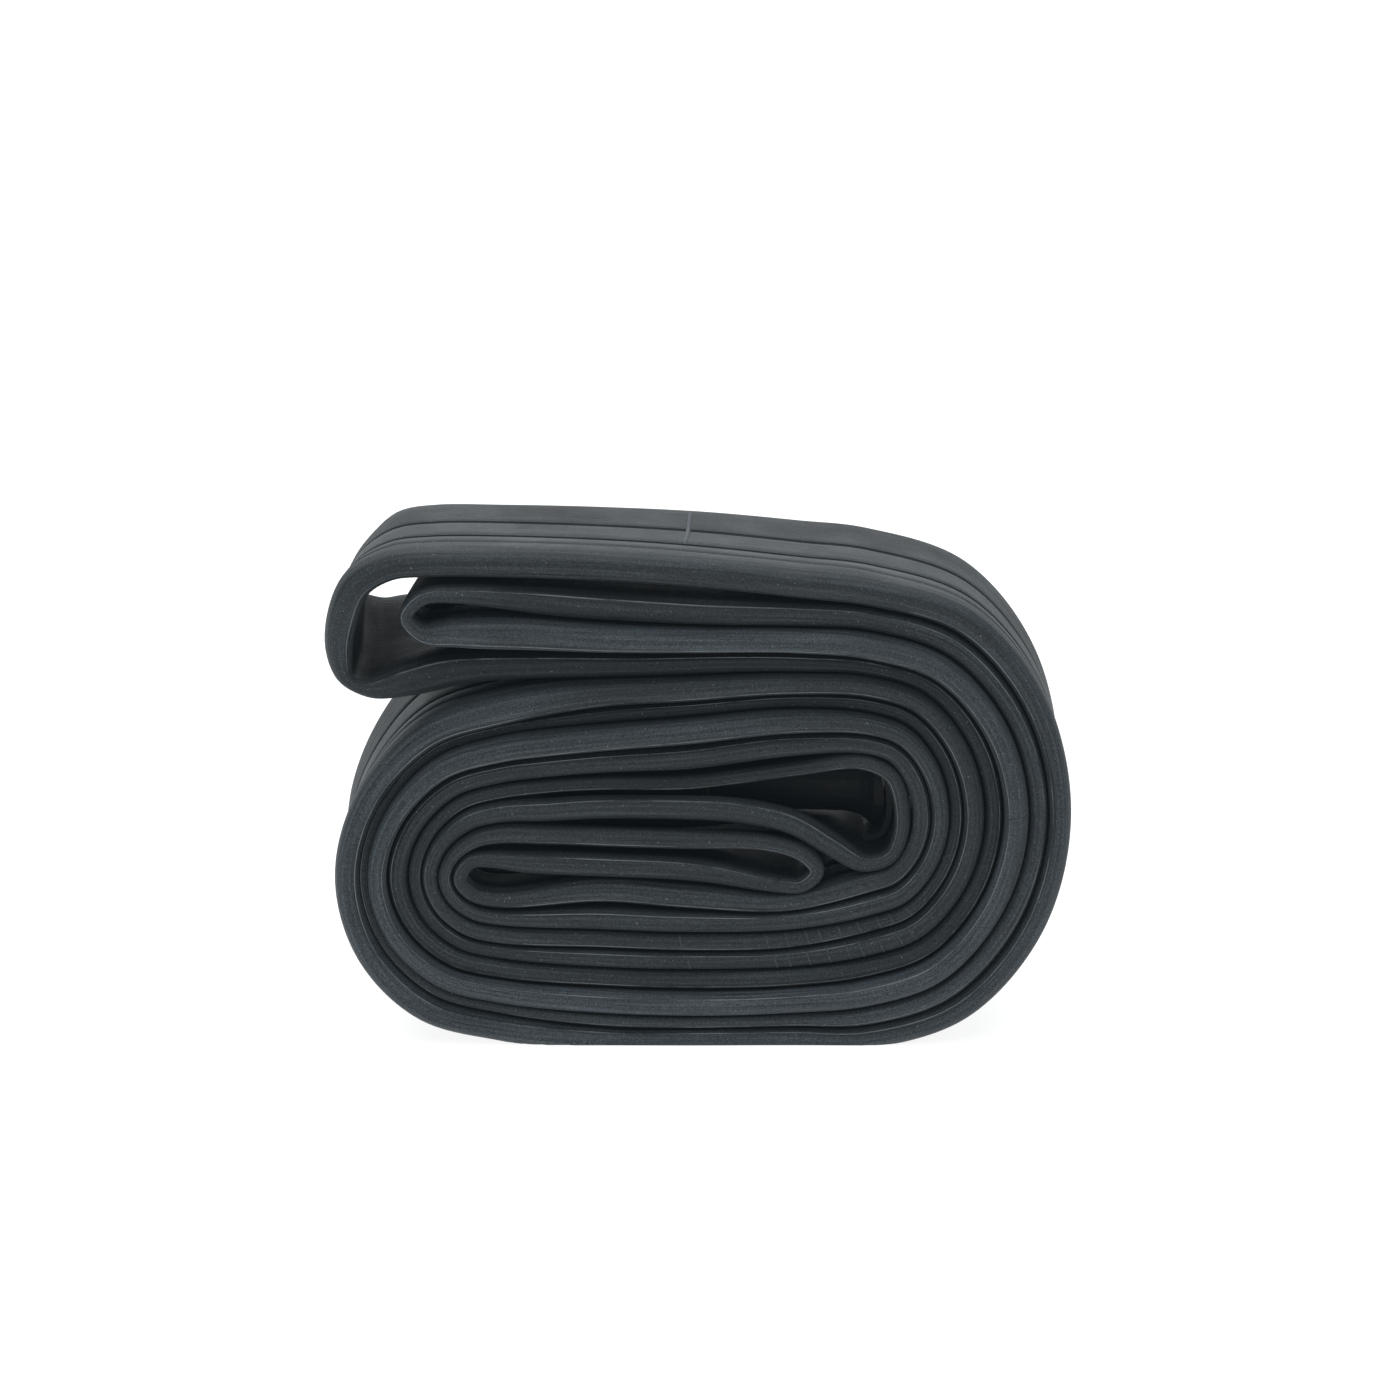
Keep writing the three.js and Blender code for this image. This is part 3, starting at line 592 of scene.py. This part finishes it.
# ---------------------------------------------------------------- the valve core's spring
def make_spring():
    """The spring takes the CAD one's place."""
    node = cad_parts["core_spring"]
    foot = np.array(VALVE_FOOT)
    axis = np.array([-math.cos(VALVE_TILT), 0.0, math.sin(VALVE_TILT)])
    up = np.array([math.sin(VALVE_TILT), 0.0, math.cos(VALVE_TILT)])
    corners = np.array([node.matrix_world @ vertex.co for vertex in node.data.vertices]) / MM
    heights = (corners - foot) @ axis
    low, high = heights.min(), heights.max()
    turn = np.linspace(0, 2 * math.pi * SPRING_TURNS, TURN_STEPS * SPRING_TURNS + 1)[:, None]
    climb = np.linspace(low + WIRE_RADIUS, high - WIRE_RADIUS, len(turn))[:, None]
    radial = np.cos(turn) * up + np.sin(turn) * np.array([0.0, 1.0, 0.0])
    columns = [foot + axis * (climb - WIRE_RADIUS * math.sin(angle))
               + radial * (COIL_RADIUS + WIRE_RADIUS * math.cos(angle))
               for angle in np.linspace(0, 2 * math.pi, WIRE_SIDES, endpoint=False)]
    spring = swept("shortening_spring", columns)
    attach(spring, "tube")
    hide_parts("core_spring")
    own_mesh(spring)
    return spring


# ---------------------------------------------------------------- materials
def node_material(name):
    material = bpy.data.materials.new(name)
    material.use_nodes = True
    tree = material.node_tree
    return material, tree.nodes, tree.links, tree.nodes["Principled BSDF"]


def ramp(nodes, stops):
    node = nodes.new("ShaderNodeValToRGB")
    while len(node.color_ramp.elements) < len(stops):
        node.color_ramp.elements.new(0.5)
    for element, (position, value) in zip(node.color_ramp.elements, stops):
        element.position = position
        element.color = (*value, 1.0) if isinstance(value, tuple) else (value, value, value, 1.0)
    return node


def mixed(nodes, links, factor, first, second, blend_type="MIX"):
    """A colour mix; factor, first and second are sockets or constants."""
    node = nodes.new("ShaderNodeMix")
    node.data_type = "RGBA"
    node.blend_type = blend_type
    for socket, value in ((node.inputs[0], factor), (node.inputs[6], first), (node.inputs[7], second)):
        if isinstance(value, bpy.types.NodeSocket):
            links.new(value, socket)
        else:
            socket.default_value = value
    return node.outputs[2]


def noise(nodes, links, vector, scale, detail=3.0, roughness=0.55):
    node = nodes.new("ShaderNodeTexNoise")
    node.inputs["Scale"].default_value = scale
    node.inputs["Detail"].default_value = detail
    node.inputs["Roughness"].default_value = roughness
    links.new(vector, node.inputs["Vector"])
    return node.outputs["Fac"]


def stretched(nodes, links, source, scale):
    node = nodes.new("ShaderNodeMapping")
    node.inputs["Scale"].default_value = scale
    links.new(source, node.inputs["Vector"])
    return node.outputs["Vector"]


def butyl_material():
    """Matte blue-black butyl: drawn lengthwise streaks, cloudy talc and a few pale specks, with painted light
    and shade over them.
    """
    material, nodes, links, shader = node_material("butyl")
    place = nodes.new("ShaderNodeTexCoord").outputs["Object"]
    strip = nodes.new("ShaderNodeUVMap")
    strip.uv_map = "lengthwise"
    long_strip = stretched(nodes, links, strip.outputs["UV"], (0.02, 1.3, 1.0))
    streaks = noise(nodes, links, long_strip, 2.2, 5.0, 0.65)
    longer_strip = stretched(nodes, links, strip.outputs["UV"], (0.012, 1.7, 1.0))
    lines = noise(nodes, links, longer_strip, 1.7, 3.0, 0.65)
    clouds = noise(nodes, links, place, 90.0, 5.0, 0.65)
    grain = noise(nodes, links, place, 4200.0, 3.0, 0.7)
    specks = noise(nodes, links, place, 2900.0, 1.0)

    def marked(name):
        node = nodes.new("ShaderNodeAttribute")
        node.attribute_name = name
        return node.outputs["Fac"]

    def ramped(source, *stops):
        node = ramp(nodes, stops)
        links.new(source, node.inputs[0])
        return node.outputs[0]

    base = mixed(nodes, links, clouds, (0.0142, 0.0183, 0.0214, 1), (0.0248, 0.0293, 0.0332, 1))
    grained = mixed(nodes, links, 1.0, base, ramped(grain, (0.27, 0.2), (0.73, 1.95)), "MULTIPLY")
    drawn_out = mixed(nodes, links, 1.0, grained, ramped(streaks, (0.3, 0.35), (0.7, 1.85)), "MULTIPLY")
    # Painted light and shade from the tone mark: runs set back, the far band and the inward faces darker,
    # runs standing forward and the raised ribs and seam lighter.
    painted_light_and_shade = mixed(nodes, links, 1.0, drawn_out, marked("tone"), "MULTIPLY")
    # A painted pale highlight along the flash line, broken up by the clouds.
    flash = mixed(nodes, links, ramped(clouds, (0.38, 0.0), (0.6, 1.0)), (0, 0, 0, 1), marked("ridge"))
    ridge_highlighted = mixed(nodes, links, flash, painted_light_and_shade, (0.17, 0.185, 0.19, 1))
    talced = mixed(nodes, links, ramped(specks, (0.735, 0.0), (0.765, 0.8)), ridge_highlighted, (0.15, 0.165, 0.17, 1))
    # Painted shade: the mould grooves are painted near-black.
    dark = ramped(marked("groove_shade"), (0.25, 0.0), (0.75, 0.92))
    links.new(mixed(nodes, links, dark, talced, (0.005, 0.006, 0.007, 1)), shader.inputs["Base Color"])

    links.new(ramped(clouds, (0.3, 0.5), (0.7, 0.68)), shader.inputs["Roughness"])
    shader.inputs["Specular IOR Level"].default_value = 0.25
    painted_glow(shader)

    fine = nodes.new("ShaderNodeBump")
    fine.inputs["Strength"].default_value = 0.35
    fine.inputs["Distance"].default_value = 0.0001
    links.new(grain, fine.inputs["Height"])
    drawn = nodes.new("ShaderNodeBump")
    drawn.inputs["Strength"].default_value = 0.6
    drawn.inputs["Distance"].default_value = 0.0002
    links.new(lines, drawn.inputs["Height"])
    links.new(fine.outputs["Normal"], drawn.inputs["Normal"])
    links.new(drawn.outputs["Normal"], shader.inputs["Normal"])
    return material


def painted_glow(shader):
    """A faint painted glow, like a trace of haze, so that the deepest gaps are blue-black and not pure black.
    """
    shader.inputs["Emission Color"].default_value = (0.62, 0.84, 1.0, 1)
    shader.inputs["Emission Strength"].default_value = 0.006


def simple_material(name, low, high, roughness, metallic=0.0, scale=400.0, bump=0.1):
    """A colour that varies between two tones, with fine bump and roughness from the same noise."""
    material, nodes, links, shader = node_material(name)
    place = nodes.new("ShaderNodeTexCoord").outputs["Object"]
    tone = noise(nodes, links, place, scale, 4.0)
    links.new(mixed(nodes, links, tone, (*low, 1), (*high, 1)), shader.inputs["Base Color"])
    rough = ramp(nodes, [(0.3, roughness[0]), (0.7, roughness[1])])
    links.new(tone, rough.inputs[0])
    links.new(rough.outputs[0], shader.inputs["Roughness"])
    shader.inputs["Metallic"].default_value = metallic
    painted_glow(shader)
    relief = nodes.new("ShaderNodeBump")
    relief.inputs["Strength"].default_value = bump
    relief.inputs["Distance"].default_value = 0.0001
    links.new(noise(nodes, links, place, scale * 6, 2.0), relief.inputs["Height"])
    links.new(relief.outputs["Normal"], shader.inputs["Normal"])
    return material


def dress(node, material):
    """Gives a CAD node that stays in view its material."""
    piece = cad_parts[node]
    piece.data.materials.clear()
    piece.data.materials.append(material)


def dress_valve():
    brass = simple_material("turned_brass", (0.52, 0.36, 0.13), (0.68, 0.50, 0.22), (0.22, 0.42), 1.0, 900.0)
    steel = simple_material("drawn_steel", (0.50, 0.51, 0.53), (0.66, 0.67, 0.69), (0.2, 0.36), 1.0, 1200.0)
    moulded = simple_material("moulded_rubber", (0.010, 0.011, 0.012), (0.018, 0.020, 0.022), (0.6, 0.75))
    seal = simple_material("red_seal", (0.32, 0.03, 0.02), (0.45, 0.06, 0.04), (0.45, 0.6))
    plastic = simple_material("cap_plastic", (0.010, 0.010, 0.011), (0.020, 0.020, 0.022), (0.35, 0.5))
    looks = {
        "valve_patch": moulded, "stem_cover": moulded, "cup_seal": moulded, "cap_seal": moulded,
        "stem_insert": brass, "core_plug": brass, "core_barrel": brass, "core_cup": brass,
        "core_pin": steel, "core_gasket": seal, "cap_shell": plastic,
    }
    for node, material in looks.items():
        dress(node, material)
    make_spring().data.materials.append(steel)


# ---------------------------------------------------------------- the studio, in metres
CAMERA_DISTANCE, CAMERA_ELEVATION = 0.88, math.radians(12.0)
CAMERA_AIM = (0.0, 0.0006, 0.0505)        # measured from the foot of the roll's front, at x = 0
SENSOR_WIDTH = 36.0
SEEN_WIDTH = 0.1976             # how wide a strip the camera sees where it aims
FLOOR_SIZE = 6.0
DAYLIGHT = (0.95, 0.985, 1)
SKY_LIGHT, SKY_SEEN = 0.35, 0.7           # the sky as a light, and what the camera sees on top of it


def make_camera():
    """A little above the front, from far enough away that the roll looks almost flat."""
    low = CAD_BOX[0]
    aim = (CAMERA_AIM[0], low[1] + CAMERA_AIM[1], low[2] + CAMERA_AIM[2])
    away = CAMERA_DISTANCE * math.cos(CAMERA_ELEVATION)
    up = CAMERA_DISTANCE * math.sin(CAMERA_ELEVATION)
    data = bpy.data.cameras.new("camera")
    data.sensor_width = SENSOR_WIDTH
    data.lens = SENSOR_WIDTH * CAMERA_DISTANCE / SEEN_WIDTH
    camera = bpy.data.objects.new("camera", data)
    camera.location = (aim[0], aim[1] - away, aim[2] + up)
    camera.rotation_euler = (math.pi / 2 - CAMERA_ELEVATION, 0, 0)
    bpy.context.scene.collection.objects.link(camera)
    bpy.context.scene.camera = camera


def softbox(name, energy, size, location, tilt):
    panel = bpy.data.lights.new(name, "AREA")
    panel.shape = "RECTANGLE"
    panel.size, panel.size_y = size
    panel.energy = energy
    panel.color = DAYLIGHT
    light = bpy.data.objects.new(name, panel)
    light.location = location
    light.rotation_euler = (math.radians(tilt), 0, 0)
    light.visible_camera = False
    bpy.context.scene.collection.objects.link(light)


def make_floor():
    """A white floor that gives off some light, so that shadows on it stay faint."""
    bpy.ops.mesh.primitive_plane_add(size=FLOOR_SIZE, location=(0, 0, 0))
    floor = bpy.context.object
    floor.name = "floor"
    material, _, _, shader = node_material("pale_floor")
    shader.inputs["Base Color"].default_value = (0.3, 0.3, 0.3, 1)
    shader.inputs["Roughness"].default_value = 0.9
    shader.inputs["Emission Color"].default_value = (1, 1, 1, 1)
    shader.inputs["Emission Strength"].default_value = 0.88
    floor.data.materials.append(material)


def make_sky():
    """A soft sky that lights the roll gently and looks white behind it."""
    world = bpy.data.worlds.new("studio")
    world.use_nodes = True
    nodes, links = world.node_tree.nodes, world.node_tree.links
    nodes["Background"].inputs["Color"].default_value = (0.93, 0.98, 1, 1)
    seen = nodes.new("ShaderNodeLightPath").outputs["Is Camera Ray"]
    strength = nodes.new("ShaderNodeMath")
    strength.operation = "MULTIPLY_ADD"
    strength.inputs[1].default_value = SKY_SEEN
    strength.inputs[2].default_value = SKY_LIGHT
    links.new(seen, strength.inputs[0])
    links.new(strength.outputs[0], nodes["Background"].inputs["Strength"])
    bpy.context.scene.world = world


def make_overhead():
    """A very wide, soft light from above."""
    overhead = bpy.data.lights.new("overhead", "SUN")
    overhead.energy = 2.2
    overhead.color = DAYLIGHT
    overhead.angle = math.radians(70)
    light = bpy.data.objects.new("overhead", overhead)
    light.rotation_euler = (math.radians(-14), math.radians(-6), 0)
    bpy.context.scene.collection.objects.link(light)


def make_studio():
    make_floor()
    make_sky()
    make_overhead()
    softbox("back_panel", 7.0, (2.2, 1.0), (0, 1.3, 0.62), -90)
    softbox("front_softbox", 8.0, (1.6, 1.0), (0, -1.2, 1.35), 42)
    bpy.context.scene.view_settings.view_transform = "Standard"


# ---------------------------------------------------------------- the whole
make_camera()
make_studio()
ring = Ring()
butyl = butyl_material()

tube = make_tube(ring)
tube.data.materials.append(butyl)
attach(tube, "tube")
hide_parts("tube_body")

for detail in (make_splice(ring), make_ribs(ring)):
    detail.data.materials.append(butyl)
    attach(detail, "tube")

dress_valve()
